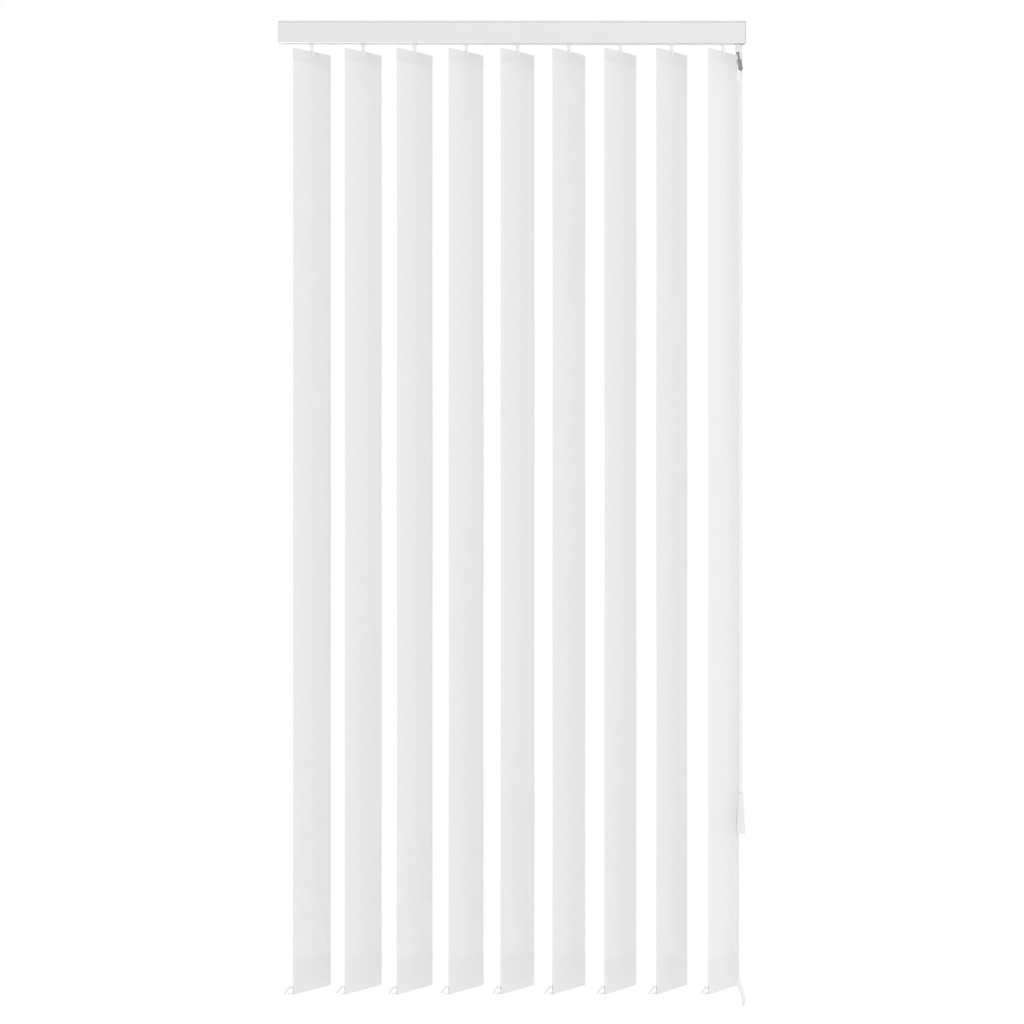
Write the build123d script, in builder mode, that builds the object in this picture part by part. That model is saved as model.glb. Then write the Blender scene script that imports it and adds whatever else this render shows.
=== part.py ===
from build123d import *
import os
from math import cos, pi, radians, sin, tan

os.makedirs("parts", exist_ok=True)

# A vertical blind: fabric louvres hang from carriers that run in an aluminium head rail.
# Millimetres. X runs along the rail, the room is at -Y, Z is up.
# The origin is on the ceiling, above the middle of the rail and in the plane of the stems.

# Head rail: an extruded channel, open below for the stems and above for the brackets
rail_length = 1030.0
rail_depth = 40.0
rail_height = 47.7
rail_wall = 1.3
rail_corner = 1.2
stem_slot = 13.0
guide_rib_height = 1.6
guide_rib_width = 1.2
groove_drop = 1.9
groove_height = 2.2
groove_depth = 0.9
clip_mouth = 10.0
clip_width = 17.0
clip_depth = 2.6

# Ceiling brackets
bracket_plate = 1.5
bracket_length = 60.0
bracket_width = 26.0
bracket_spacing = 800.0
bracket_corner = 4.0
screw_radius = 2.25
foot_length = 10.0
foot_spacing = 40.0
foot_head = 1.5
foot_play = 0.4

# Louvres
louvre_count = 9
louvre_pitch = 114.0
louvre_width = 127.0
louvre_length = 2080.0
louvre_gap = 17.4
louvre_angle = 54.0
end_margin = 46.6
cloth = 0.5
top_pocket = 26.0
top_taper = 9.0
bottom_pocket = 75.0
bottom_taper = 27.0
seam_height = 3.0
slit_width = 10.0
slit_height = 12.5
pocket_play = 0.15

# Hanger plates in the top pockets
hanger_thickness = 1.2
hanger_width = 116.0
hanger_height = 17.0
hanger_end_radius = 5.0
hanger_slot_length = 29.0
hanger_slot_height = 4.2
hanger_slot_offset = 29.0
hanger_slot_drop = 10.2
window_width = 5.0
window_height = 3.2
window_drop = 7.0

# Weight plates in the bottom pockets, each with an open chain hook at its near end
plate_thickness = 1.6
plate_width = 119.0
plate_height = 44.0
plate_corner = 3.0
plate_groove = 0.35
panel_margin = 8.0
hook_line = 2.2
hook_inset = 1.0
hook_root = 12.5
hook_peak_out = 11.0
hook_peak_up = 19.2
hook_tip_out = 28.0
hook_tip_up = 7.2
prong_out = 16.0
prong_up = 4.2

# Carriers
carrier_length = 18.0
carrier_top = -12.5
carrier_body = 30.0
carrier_chamfer = 3.0
shoe_reach = 18.1
shoe_inner = 8.8
shoe_height = 6.0
track_play = 0.2
rib_play = 0.6
roof = 1.5
recess_width = 7.0
recess_height = 14.0
recess_depth = 3.0
recess_z = -29.0
recess_corner = 1.0
neck_radius = 5.6
neck_drop = 2.4

# Stems
stem_radius = 3.3
bearing_play = 0.06
stem_end_play = 0.5
collar_radius = 4.3
collar_height = 2.0
collar_play = 0.2
stem_head = 8.5
skirt_radius = 4.7
skirt_height = 1.6
blade_width = 6.6
blade_thickness = 4.6
blade_reach = 11.0
blade_start = 4.5
blade_root = 1.0
blade_corner = 1.2
fork_depth = 11.6
barb_gap = 0.3
barb_width = 3.8
barb_height = 2.2

# Tilt rod and its sprocket
rod_radius = 2.9
rod_y = -4.5
rod_z = -22.0
flute_radius = 1.1
flute_count = 3
rod_play = 0.4
rod_inset = 2.0
rod_drive_reach = 5.0
bead_diameter = 4.0
bead_pitch = 6.0
bead_count = 10
sprocket_rim = 1.75
sprocket_flange = 1.2
sprocket_play = 0.3
hub_radius = 4.3
hub_play = 0.1
spindle_radius = 2.4
spindle_end_play = 0.4
scallop_radius = 1.35

# Traverse cord and its pulleys
cord_diameter = 2.0
cord_y = 10.0
cord_upper_z = -16.0
cord_lower_z = -31.0
cord_hole = 1.6
left_pulley_radius = 7.5
upper_pulley_radius = 6.0
lower_pulley_radius = 3.5
pulley_rim = 1.2
pulley_thickness = 4.6
groove_play = 0.3
axle_play = 0.08
axle_radius = 2.0
small_axle = 1.2
left_strand_offset = 6.0
right_strand_offset = 10.0
throat_bend = 3.0

# End cap and control housing
cap_thickness = 2.0
cap_fit = 0.3
housing_wall = 1.3
housing_length = 28.0
plug_length = 8.0
control_inset = 15.0
bearing_wall = 2.0
yoke_margin = 2.0
yoke_past_axle = 5.0
boss_length = 5.5
boss_wall = 1.8
throat_left = 6.5
throat_right = 13.0
throat_drop = 1.0
throat_end_wall = 1.0
throat_side_wall = 0.8
floor_cut_play = 0.5

# Cord weight
weight_rise = 437.6
weight_height = 91.0
weight_top_width = 10.0
weight_top_thickness = 4.8
weight_width = 20.0
weight_thickness = 5.2
weight_corner = 2.0
weight_pin_radius = 0.8
weight_y = -3.2
weight_x_offset = 7.0
turn_depth = 60.0
turn_radius = 2.0
weight_slot_play = 0.4
weight_slot_end = 4.0

# Chain strands, beside the sprocket's plane, and the connector in the front one
front_strand_offset = 2.3
back_strand_offset = 2.5
connector_y = -2.2
connector_thickness = 5.2
connector_top_radius = 3.2
connector_neck = 3.6
connector_middle_radius = 4.6
connector_body = 8.6
connector_bottom_radius = 5.2

# Cuts run this far past a face, joined bodies this far into each other,
# and a cord's arc is this share of its wheel's radius so that two arcs never touch
cut_over = 1.0
merge = 0.5
arc_share = 0.995

# Places that follow from the sizes above
rail_end = rail_length / 2
rail_top = -bracket_plate
rail_bottom = rail_top - rail_height
rail_middle = (rail_top + rail_bottom) / 2
track = rail_bottom + rail_wall
clip_floor = rail_top - rail_wall - clip_depth
inner_half = rail_depth / 2 - rail_wall
louvre_top = rail_bottom - louvre_gap
louvre_bottom = louvre_top - louvre_length
last_stem = rail_end - end_margin
neck_bottom = rail_bottom - neck_drop
along = (cos(radians(louvre_angle)), sin(radians(louvre_angle)), 0)
across = (-sin(radians(louvre_angle)), cos(radians(louvre_angle)), 0)
facing = (sin(radians(louvre_angle)), -cos(radians(louvre_angle)), 0)
chain_radius = bead_pitch * bead_count / (2 * pi)
control_x = rail_end - control_inset
housing_top = clip_floor - rail_wall - cap_fit
housing_bottom = track + guide_rib_height + cap_fit
housing_middle = (housing_top + housing_bottom) / 2
housing_depth = 2 * (inner_half - cap_fit)
housing_height = housing_top - housing_bottom
housing_left = rail_end - housing_length


def stem_x(number):
    return last_stem - louvre_pitch * (louvre_count - number)


def end_view(x):
    """The plane across the rail at x, with Y to the right and Z up."""
    return Plane.YZ.offset(x)


def rod_section(grow):
    """Draw the fluted section of the tilt rod, grown evenly by a clearance."""
    with Locations((rod_y, rod_z)):
        Circle(rod_radius + grow)
        with PolarLocations(rod_radius, flute_count):
            Circle(flute_radius - grow, mode=Mode.SUBTRACT)


# Head rail, drawn as half of its section and mirrored
half = rail_depth / 2
groove_top = rail_top - groove_drop
groove_bottom = groove_top - groove_height
with BuildPart() as head_rail:
    with BuildSketch(Plane.YZ):
        with BuildLine():
            Polyline(
                (0, clip_floor),
                (clip_width / 2, clip_floor),
                (clip_width / 2, rail_top - rail_wall),
                (clip_mouth / 2, rail_top - rail_wall),
                (clip_mouth / 2, rail_top),
                (half, rail_top),
                (half, groove_top),
                (half - groove_depth, groove_top),
                (half - groove_depth, groove_bottom),
                (half, groove_bottom),
                (half, rail_bottom),
                (stem_slot / 2, rail_bottom),
                (stem_slot / 2, track + guide_rib_height),
                (stem_slot / 2 + guide_rib_width, track + guide_rib_height),
                (stem_slot / 2 + guide_rib_width, track),
                (inner_half, track),
                (inner_half, groove_bottom - rail_wall),
                (inner_half - groove_depth, groove_bottom - rail_wall),
                (inner_half - groove_depth, rail_top - rail_wall),
                (clip_width / 2 + rail_wall, rail_top - rail_wall),
                (clip_width / 2 + rail_wall, clip_floor - rail_wall),
                (0, clip_floor - rail_wall),
            )
            mirror(about=Plane.YZ)
        make_face()
        outer = [v for v in vertices() if abs(v.X) > half - 0.01]
        fillet([v for v in outer if v.Y > rail_top - 0.01 or v.Y < rail_bottom + 0.01], rail_corner)
    extrude(amount=rail_end, both=True)
head_rail.part.label = "head_rail"
export_step(head_rail.part, "parts/head_rail.step")

# Ceiling brackets, each a plate with two T feet that hold in the rail's upper slot
for side, name in ((-1, "bracket_left"), (1, "bracket_right")):
    bracket_x = side * bracket_spacing / 2
    with BuildPart() as bracket:
        with BuildSketch(Plane.XY.offset(rail_top)):
            with Locations((bracket_x, 0)):
                RectangleRounded(bracket_length, bracket_width, bracket_corner)
                Circle(screw_radius, mode=Mode.SUBTRACT)
        extrude(amount=bracket_plate)
        with BuildSketch(Plane.XY.offset(rail_top)):
            with Locations((bracket_x - foot_spacing / 2, 0), (bracket_x + foot_spacing / 2, 0)):
                Rectangle(foot_length, clip_mouth - 2 * foot_play)
        extrude(amount=-(rail_wall + foot_play))
        with BuildSketch(Plane.XY.offset(rail_top - rail_wall - foot_play)):
            with Locations((bracket_x - foot_spacing / 2, 0), (bracket_x + foot_spacing / 2, 0)):
                Rectangle(foot_length, clip_width - 2 * foot_play)
        extrude(amount=-foot_head)
    bracket.part.label = name
    export_step(bracket.part, f"parts/{name}.step")

# Left end cap: a flange, a plug inside the rail, the rod's bearing and the pulley's yoke
left_pulley_z = (cord_upper_z + cord_lower_z) / 2
left_pulley_x = -rail_end + plug_length + left_pulley_radius
yoke_gap = pulley_thickness / 2 + groove_play
yoke_reach = left_pulley_x + yoke_past_axle + rail_end
with BuildPart() as end_cap_left:
    with BuildSketch(end_view(-rail_end)):
        with Locations((0, rail_middle)):
            RectangleRounded(rail_depth, rail_height, rail_corner)
    extrude(amount=-cap_thickness)
    with BuildSketch(end_view(-rail_end)):
        with Locations((0, housing_middle)):
            Rectangle(housing_depth, housing_height)
            Rectangle(housing_depth - 2 * housing_wall, housing_height - 2 * housing_wall, mode=Mode.SUBTRACT)
    extrude(amount=plug_length)
    with BuildSketch(end_view(-rail_end)):
        with Locations((rod_y, rod_z)):
            Circle(rod_radius + bearing_wall)
            Circle(rod_radius + bearing_play, mode=Mode.SUBTRACT)
    extrude(amount=plug_length)
    with BuildSketch(end_view(-rail_end)):
        for edge in (-1, 1):
            with Locations((cord_y + edge * (yoke_gap + housing_wall / 2), left_pulley_z)):
                Rectangle(housing_wall, 2 * (axle_radius + yoke_margin))
    extrude(amount=yoke_reach)
    with BuildSketch(Plane.XZ.offset(-cord_y)):
        with Locations((left_pulley_x, left_pulley_z)):
            Circle(axle_radius)
    extrude(amount=yoke_gap + housing_wall / 2, both=True)
end_cap_left.part.label = "end_cap_left"
export_step(end_cap_left.part, "parts/end_cap_left.step")


def grooved_wheel(x, z, centreline, bore):
    """A pulley across the rail's Y direction, with a round groove for the cord."""
    rim = centreline + pulley_rim
    seat = cord_diameter / 2 + groove_play
    with BuildPart() as wheel:
        with BuildSketch(Plane.XZ.offset(-cord_y)):
            with Locations((x, z)):
                Circle(rim)
                Circle(bore, mode=Mode.SUBTRACT)
        extrude(amount=pulley_thickness / 2, both=True)
        with BuildSketch(Plane(origin=(x, cord_y, z), x_dir=(1, 0, 0), z_dir=(0, 0, 1))):
            with Locations((centreline, 0)):
                Circle(seat)
            with Locations((centreline + pulley_rim, 0)):
                Rectangle(2 * pulley_rim, 2 * seat)
        revolve(axis=Axis((x, cord_y, z), (0, 1, 0)), mode=Mode.SUBTRACT)
    return wheel


upper_pulley_x = control_x + right_strand_offset - upper_pulley_radius
upper_pulley_z = cord_upper_z - upper_pulley_radius
lower_pulley_x = control_x + left_strand_offset - lower_pulley_radius
lower_pulley_z = cord_lower_z - lower_pulley_radius
left_pulley = grooved_wheel(left_pulley_x, left_pulley_z, left_pulley_radius, axle_radius + axle_play)
left_pulley.part.label = "left_pulley"
export_step(left_pulley.part, "parts/left_pulley.step")
upper_pulley = grooved_wheel(upper_pulley_x, upper_pulley_z, upper_pulley_radius, small_axle + axle_play)
upper_pulley.part.label = "upper_pulley"
export_step(upper_pulley.part, "parts/upper_pulley.step")
lower_pulley = grooved_wheel(lower_pulley_x, lower_pulley_z, lower_pulley_radius, small_axle + axle_play)
lower_pulley.part.label = "lower_pulley"
export_step(lower_pulley.part, "parts/lower_pulley.step")

# Control housing: a flange and a box in the rail's end, open at its front for fitting the wheels
cavity_left = housing_left + housing_wall
cavity_right = rail_end - housing_wall
floor_top = housing_bottom + housing_wall
throat_inner = throat_left + throat_right - 2 * throat_end_wall
with BuildPart() as control_housing:
    with BuildSketch(end_view(rail_end)):
        with Locations((0, rail_middle)):
            RectangleRounded(rail_depth, rail_height, rail_corner)
    extrude(amount=cap_thickness)
    with BuildSketch(end_view(rail_end)):
        with Locations((0, housing_middle)):
            Rectangle(housing_depth, housing_height)
    extrude(amount=-housing_length)
    with BuildSketch(end_view(cavity_right)):
        with Locations((-housing_wall, housing_middle)):
            Rectangle(housing_depth, housing_height - 2 * housing_wall)
    extrude(amount=cavity_left - cavity_right, mode=Mode.SUBTRACT)
    with BuildSketch(Plane.XY.offset(rail_bottom - throat_drop)):
        with Locations((control_x + (throat_right - throat_left) / 2, 0)):
            Rectangle(throat_left + throat_right, stem_slot - 2 * cap_fit)
    extrude(amount=floor_top - rail_bottom + throat_drop)
    with BuildSketch(Plane.XY.offset(rail_bottom - throat_drop)):
        with Locations((control_x + (throat_right - throat_left) / 2, 0)):
            Rectangle(throat_inner, stem_slot - 2 * (cap_fit + throat_side_wall))
    extrude(amount=floor_top - rail_bottom + throat_drop, mode=Mode.SUBTRACT)
    with BuildSketch(Plane.XY.offset(housing_bottom)):
        with Locations((control_x + (throat_right - throat_left) / 2, 0)):
            Rectangle(throat_inner, stem_slot + 2 * floor_cut_play)
    extrude(amount=housing_wall + cut_over, mode=Mode.SUBTRACT)
    with BuildSketch(end_view(cavity_right)):
        with Locations((rod_y, rod_z)):
            Circle(spindle_radius + boss_wall)
    extrude(amount=-boss_length)
    with BuildSketch(end_view(cavity_right - boss_length)):
        with Locations((rod_y, rod_z)):
            Circle(spindle_radius + bearing_play)
    extrude(amount=boss_length, mode=Mode.SUBTRACT)
    with BuildSketch(end_view(housing_left)):
        with Locations((rod_y, rod_z)):
            Circle(hub_radius + bearing_play)
        with Locations((cord_y, cord_upper_z), (cord_y, cord_lower_z)):
            Circle(cord_hole)
    extrude(amount=housing_wall, mode=Mode.SUBTRACT)
    with BuildSketch(Plane.XZ.offset(-housing_depth / 2 + housing_wall / 2)):
        with Locations((upper_pulley_x, upper_pulley_z), (lower_pulley_x, lower_pulley_z)):
            Circle(small_axle)
    extrude(amount=housing_depth / 2 - cord_y + pulley_thickness / 2)
control_housing.part.label = "control_housing"
export_step(control_housing.part, "parts/control_housing.step")

# Tilt rod, fluted so that it turns the drives while the carriers slide along it
rod_left = -rail_end + rod_inset
rod_right = control_x - rod_drive_reach
with BuildPart() as tilt_rod:
    with BuildSketch(end_view(rod_left)):
        rod_section(0)
    extrude(amount=rod_right - rod_left)
tilt_rod.part.label = "tilt_rod"
export_step(tilt_rod.part, "parts/tilt_rod.step")

# Chain sprocket: a grooved wheel whose flanges are scalloped once for each bead
groove_half = bead_diameter / 2 + sprocket_play
wheel_half = groove_half + sprocket_flange
with BuildPart() as chain_sprocket:
    with BuildSketch(end_view(control_x - wheel_half)):
        with Locations((rod_y, rod_z)):
            Circle(chain_radius + sprocket_rim)
            with PolarLocations(chain_radius + sprocket_rim, bead_count):
                Circle(scallop_radius, mode=Mode.SUBTRACT)
    extrude(amount=2 * wheel_half)
    with BuildSketch(Plane.XY.offset(rod_z)):
        with Locations((control_x, rod_y + chain_radius)):
            Circle(groove_half)
        with Locations((control_x, rod_y + chain_radius + sprocket_rim)):
            Rectangle(2 * groove_half, 2 * sprocket_rim)
    revolve(axis=Axis((control_x, rod_y, rod_z), (1, 0, 0)), mode=Mode.SUBTRACT)
    with BuildSketch(end_view(control_x - wheel_half)):
        with Locations((rod_y, rod_z)):
            Circle(hub_radius)
    extrude(amount=housing_left - control_x + wheel_half)
    with BuildSketch(end_view(control_x + wheel_half)):
        with Locations((rod_y, rod_z)):
            Circle(spindle_radius)
    extrude(amount=cavity_right - spindle_end_play - control_x - wheel_half)
    with BuildSketch(end_view(housing_left)):
        rod_section(hub_play)
    extrude(amount=rod_right + hub_play - housing_left, mode=Mode.SUBTRACT)
chain_sprocket.part.label = "chain_sprocket"
export_step(chain_sprocket.part, "parts/chain_sprocket.step")

# Carriers: a moulded body with two shoes on the rail's lips and a neck for the stem
shoe_bottom = track + track_play
body_half = carrier_body / 2
body_bottom = track + guide_rib_height + rib_play
bore_top = rod_z - rod_radius - rod_play - roof
for number in range(1, louvre_count + 1):
    x = stem_x(number)
    with BuildPart() as carrier:
        with BuildSketch(end_view(x)):
            with BuildLine():
                Polyline(
                    (0, carrier_top),
                    (body_half - carrier_chamfer, carrier_top),
                    (body_half, carrier_top - carrier_chamfer),
                    (body_half, shoe_bottom + shoe_height + carrier_chamfer),
                    (shoe_reach, shoe_bottom + shoe_height),
                    (shoe_reach, shoe_bottom),
                    (shoe_inner, shoe_bottom),
                    (shoe_inner, body_bottom),
                    (0, body_bottom),
                )
                mirror(about=Plane.YZ)
            make_face()
            with Locations((rod_y, rod_z)):
                Circle(rod_radius + rod_play, mode=Mode.SUBTRACT)
            with Locations((cord_y, cord_upper_z), (cord_y, cord_lower_z)):
                Circle(cord_hole, mode=Mode.SUBTRACT)
        extrude(amount=carrier_length / 2, both=True)
        with BuildSketch(Plane.XY.offset(neck_bottom)):
            with Locations((x, 0)):
                Circle(neck_radius)
        extrude(amount=body_bottom + merge - neck_bottom)
        with BuildSketch(Plane.XY.offset(neck_bottom)):
            with Locations((x, 0)):
                Circle(stem_radius + bearing_play)
        extrude(amount=bore_top - neck_bottom, mode=Mode.SUBTRACT)
        with BuildSketch(Plane.XY.offset(bore_top - stem_head / 2 - collar_play)):
            with Locations((x, 0)):
                Circle(collar_radius + collar_play)
        extrude(amount=collar_height + 2 * collar_play, mode=Mode.SUBTRACT)
        with BuildSketch(Plane.XZ.offset(-body_half)):
            with Locations((x - carrier_length / 2, recess_z), (x + carrier_length / 2, recess_z)):
                RectangleRounded(recess_width, recess_height, recess_corner)
        extrude(amount=recess_depth, mode=Mode.SUBTRACT)
        with BuildSketch(Plane.XZ.offset(body_half)):
            with Locations((x - carrier_length / 2, recess_z), (x + carrier_length / 2, recess_z)):
                RectangleRounded(recess_width, recess_height, recess_corner)
        extrude(amount=-recess_depth, mode=Mode.SUBTRACT)
    carrier.part.label = f"carrier_{number}"
    export_step(carrier.part, f"parts/carrier_{number}.step")

# Stems: a journal with a snap collar in the carrier, a shaft, and a forked hook for the hanger
collar_z = bore_top - stem_head / 2
fork_gap = hanger_thickness + 2 * pocket_play
for number in range(1, louvre_count + 1):
    x = stem_x(number)
    front = Plane(origin=(x, 0, louvre_top), x_dir=along, z_dir=facing)
    with BuildPart() as stem:
        with BuildSketch(Plane.XY.offset(bore_top - stem_end_play)):
            with Locations((x, 0)):
                Circle(stem_radius)
        extrude(amount=louvre_top + blade_start - bore_top + stem_end_play)
        with BuildSketch(Plane.XY.offset(collar_z)):
            with Locations((x, 0)):
                Circle(collar_radius)
        extrude(amount=collar_height)
        with BuildSketch(Plane.XY.offset(neck_bottom - collar_play)):
            with Locations((x, 0)):
                Circle(skirt_radius)
        extrude(amount=-skirt_height)
        with BuildSketch(front):
            with Locations((0, (blade_start + blade_root - blade_reach) / 2)):
                RectangleRounded(blade_width, blade_start + blade_root + blade_reach, blade_corner)
        extrude(amount=blade_thickness / 2, both=True)
        with BuildSketch(front):
            with Locations((0, -fork_depth / 2)):
                Rectangle(blade_width + cut_over, fork_depth)
        extrude(amount=fork_gap / 2, both=True, mode=Mode.SUBTRACT)
        with BuildSketch(front.offset(fork_gap / 2)):
            with Locations((0, -window_drop)):
                Rectangle(barb_width, barb_height)
        extrude(amount=barb_gap - fork_gap)
    stem.part.label = f"stem_{number}"
    export_step(stem.part, f"parts/stem_{number}.step")

# Louvres: one strip of cloth, folded and welded into a pocket at each end
top_half = hanger_thickness / 2 + pocket_play + cloth
bottom_half = plate_thickness / 2 + pocket_play + cloth
top_hollow = top_half - cloth
bottom_hollow = bottom_half - cloth
for number in range(1, louvre_count + 1):
    x = stem_x(number)
    edge_on = Plane(origin=(x, 0, louvre_top), x_dir=across, z_dir=along)
    front = Plane(origin=(x, 0, louvre_top), x_dir=along, z_dir=facing)
    with BuildPart() as louvre:
        with BuildSketch(edge_on):
            with BuildLine():
                Polyline(
                    (top_half, -top_half),
                    (top_half, -top_pocket + top_taper),
                    (cloth / 2, -top_pocket),
                    (cloth / 2, bottom_pocket - louvre_length),
                    (bottom_half, bottom_pocket - bottom_taper - louvre_length),
                    (bottom_half, bottom_half - louvre_length),
                )
                RadiusArc((bottom_half, bottom_half - louvre_length), (0, -louvre_length), bottom_half)
                RadiusArc((0, 0), (top_half, -top_half), top_half)
                mirror(about=Plane.YZ)
            make_face()
            with BuildLine():
                Polyline(
                    (top_hollow, -top_half),
                    (top_hollow, -top_pocket + top_taper),
                    (0, -top_pocket + seam_height),
                )
                RadiusArc((0, -cloth), (top_hollow, -top_half), top_hollow)
                mirror(about=Plane.YZ)
            make_face(mode=Mode.SUBTRACT)
            with BuildLine():
                Polyline(
                    (0, bottom_pocket - seam_height - louvre_length),
                    (bottom_hollow, bottom_pocket - bottom_taper - louvre_length),
                    (bottom_hollow, bottom_half - louvre_length),
                )
                RadiusArc(
                    (bottom_hollow, bottom_half - louvre_length), (0, cloth - louvre_length), bottom_hollow
                )
                mirror(about=Plane.YZ)
            make_face(mode=Mode.SUBTRACT)
        extrude(amount=louvre_width / 2, both=True)
        with BuildSketch(front):
            with Locations((0, -slit_height / 2)):
                Rectangle(slit_width, slit_height + cut_over)
        extrude(amount=top_half + cut_over, both=True, mode=Mode.SUBTRACT)
    louvre.part.label = f"louvre_{number}"
    export_step(louvre.part, f"parts/louvre_{number}.step")

# Hanger plates
hanger_top = -cloth - 2 * top_hollow
for number in range(1, louvre_count + 1):
    front = Plane(origin=(stem_x(number), 0, louvre_top), x_dir=along, z_dir=facing)
    with BuildPart() as hanger:
        with BuildSketch(front):
            with Locations((0, hanger_top / 2 - hanger_height / 2)):
                RectangleRounded(hanger_width, hanger_height, hanger_end_radius)
            with Locations((0, -window_drop)):
                Rectangle(window_width, window_height, mode=Mode.SUBTRACT)
            with Locations((-hanger_slot_offset, -hanger_slot_drop), (hanger_slot_offset, -hanger_slot_drop)):
                SlotOverall(hanger_slot_length, hanger_slot_height, mode=Mode.SUBTRACT)
        extrude(amount=hanger_thickness / 2, both=True)
    hanger.part.label = f"hanger_{number}"
    export_step(hanger.part, f"parts/hanger_{number}.step")

# Weight plates
plate_bottom = bottom_half - louvre_length
near_edge = -louvre_width / 2
hook_start = -plate_width / 2 + hook_inset
for number in range(1, louvre_count + 1):
    front = Plane(origin=(stem_x(number), 0, louvre_top), x_dir=along, z_dir=facing)
    with BuildPart() as weight_plate:
        with BuildSketch(front):
            with Locations((0, plate_bottom + plate_height / 2)):
                RectangleRounded(plate_width, plate_height, plate_corner)
            with BuildLine() as upper_prong:
                Polyline(
                    (hook_start, hook_root - louvre_length),
                    (near_edge - hook_peak_out, hook_peak_up - louvre_length),
                    (near_edge - hook_tip_out, hook_tip_up - louvre_length),
                )
            trace(line_width=hook_line)
            with BuildLine() as lower_prong:
                Line(
                    (hook_start, prong_up - louvre_length),
                    (near_edge - prong_out, prong_up - louvre_length),
                )
            trace(line_width=hook_line)
        extrude(amount=plate_thickness / 2, both=True)
        with BuildSketch(front.offset(plate_thickness / 2)):
            with Locations((0, plate_bottom + plate_height / 2)):
                Rectangle(plate_width - 2 * panel_margin, plate_height - 2 * panel_margin)
        extrude(amount=-plate_groove, mode=Mode.SUBTRACT)
    weight_plate.part.label = f"weight_plate_{number}"
    export_step(weight_plate.part, f"parts/weight_plate_{number}.step")


def radii(points, wheels):
    """One bend radius for each inner point: the wheel's own, or what its two runs allow."""
    found = []
    for index in range(1, len(points) - 1):
        before = Vector(*points[index]) - Vector(*points[index - 1])
        after = Vector(*points[index + 1]) - Vector(*points[index])
        turn = radians(before.get_angle(after))
        widest = 0.45 * min(before.length, after.length) / tan(turn / 2)
        found.append(wheels.get(index, widest))
    return found


def tube(points, wheels, diameter):
    """A plain round tube along straight runs that are joined by tangent arcs."""
    bends = radii(points, wheels)
    with BuildPart() as cord:
        with BuildLine() as path:
            FilletPolyline(*points, radius=bends)
        with BuildSketch(Plane(origin=path.line @ 0, z_dir=path.line % 0)):
            Circle(diameter / 2)
        sweep(path=path.line)
    long = path.wire().length
    print("radii", [round(bend, 1) for bend in bends])
    print("length", round(long, 1), "volume share", round(cord.part.volume / (pi * diameter**2 / 4 * long), 4))
    return cord


# Bead chain: from the connector over the sprocket, down, round the free loop and back up
front_strand = control_x + front_strand_offset
back_strand = control_x - back_strand_offset
chain_front_y = rod_y - chain_radius
chain_back_y = rod_y + chain_radius
chain_top_z = rod_z + chain_radius
chain_route = [
    (front_strand - 0.9, -1.9, -74.5),
    (front_strand, -2.2, -46),
    (control_x, -8.0, -34.5),
    (control_x, chain_front_y, -27),
    (control_x, chain_front_y, chain_top_z),
    (control_x, chain_back_y, chain_top_z),
    (control_x, chain_back_y, -32),
    (back_strand, 1.7, -51),
    (back_strand, 1.7, louvre_bottom + 47.6),
    (back_strand + 2.2, 2.6, louvre_bottom + 14.6),
    (back_strand + 10.2, 4.8, louvre_bottom - 5.4),
    (back_strand + 15.4, 6.0, louvre_bottom - 22.4),
    (back_strand + 14.6, 4.4, louvre_bottom - 35.9),
    (back_strand + 14.9, -4.6, louvre_bottom - 34.9),
    (back_strand + 19.0, -4.4, louvre_bottom - 21.4),
    (back_strand + 14.2, -2.8, louvre_bottom - 3.4),
    (back_strand + 6.8, 0.4, louvre_bottom + 16.6),
    (front_strand, 1.7, louvre_bottom + 48.6),
    (front_strand, 1.7, -168),
    (front_strand + 1.6, 0.2, -138),
    (front_strand + 5.0, -2.0, -105),
]
chain_wheels = {4: arc_share * chain_radius, 5: arc_share * chain_radius}
bead_chain = tube(chain_route, chain_wheels, bead_diameter)
bead_chain.part.label = "bead_chain"
export_step(bead_chain.part, "parts/bead_chain.step")

# Pull cord: one loop through the carriers, over the pulleys and round the pin of its weight
left_strand = control_x + left_strand_offset
right_strand = control_x + right_strand_offset
weight_x = control_x + weight_x_offset
weight_top_z = louvre_bottom + weight_rise
turn_z = weight_top_z - turn_depth
cord_route = [
    (stem_x(1) + 2, cord_y, cord_lower_z),
    (left_strand, cord_y, cord_lower_z),
    (left_strand, cord_y, -39.3),
    (left_strand, 3.9, -45.8),
    (weight_x - turn_radius, weight_y, weight_top_z - 4),
    (weight_x - turn_radius, weight_y, turn_z),
    (weight_x + turn_radius, weight_y, turn_z),
    (weight_x + turn_radius, weight_y, weight_top_z - 4),
    (right_strand, 3.5, -46),
    (right_strand, cord_y, -33),
    (right_strand, cord_y, cord_upper_z),
    (left_pulley_x - left_pulley_radius, cord_y, cord_upper_z),
    (left_pulley_x - left_pulley_radius, cord_y, cord_lower_z),
    (stem_x(1) - 2, cord_y, cord_lower_z),
]
cord_wheels = {
    1: lower_pulley_radius,
    2: throat_bend,
    3: throat_bend,
    5: arc_share * turn_radius,
    6: arc_share * turn_radius,
    10: upper_pulley_radius,
    11: arc_share * left_pulley_radius,
    12: arc_share * left_pulley_radius,
}
pull_cord = tube(cord_route, cord_wheels, cord_diameter)
pull_cord.part.label = "pull_cord"
export_step(pull_cord.part, "parts/pull_cord.step")

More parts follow.
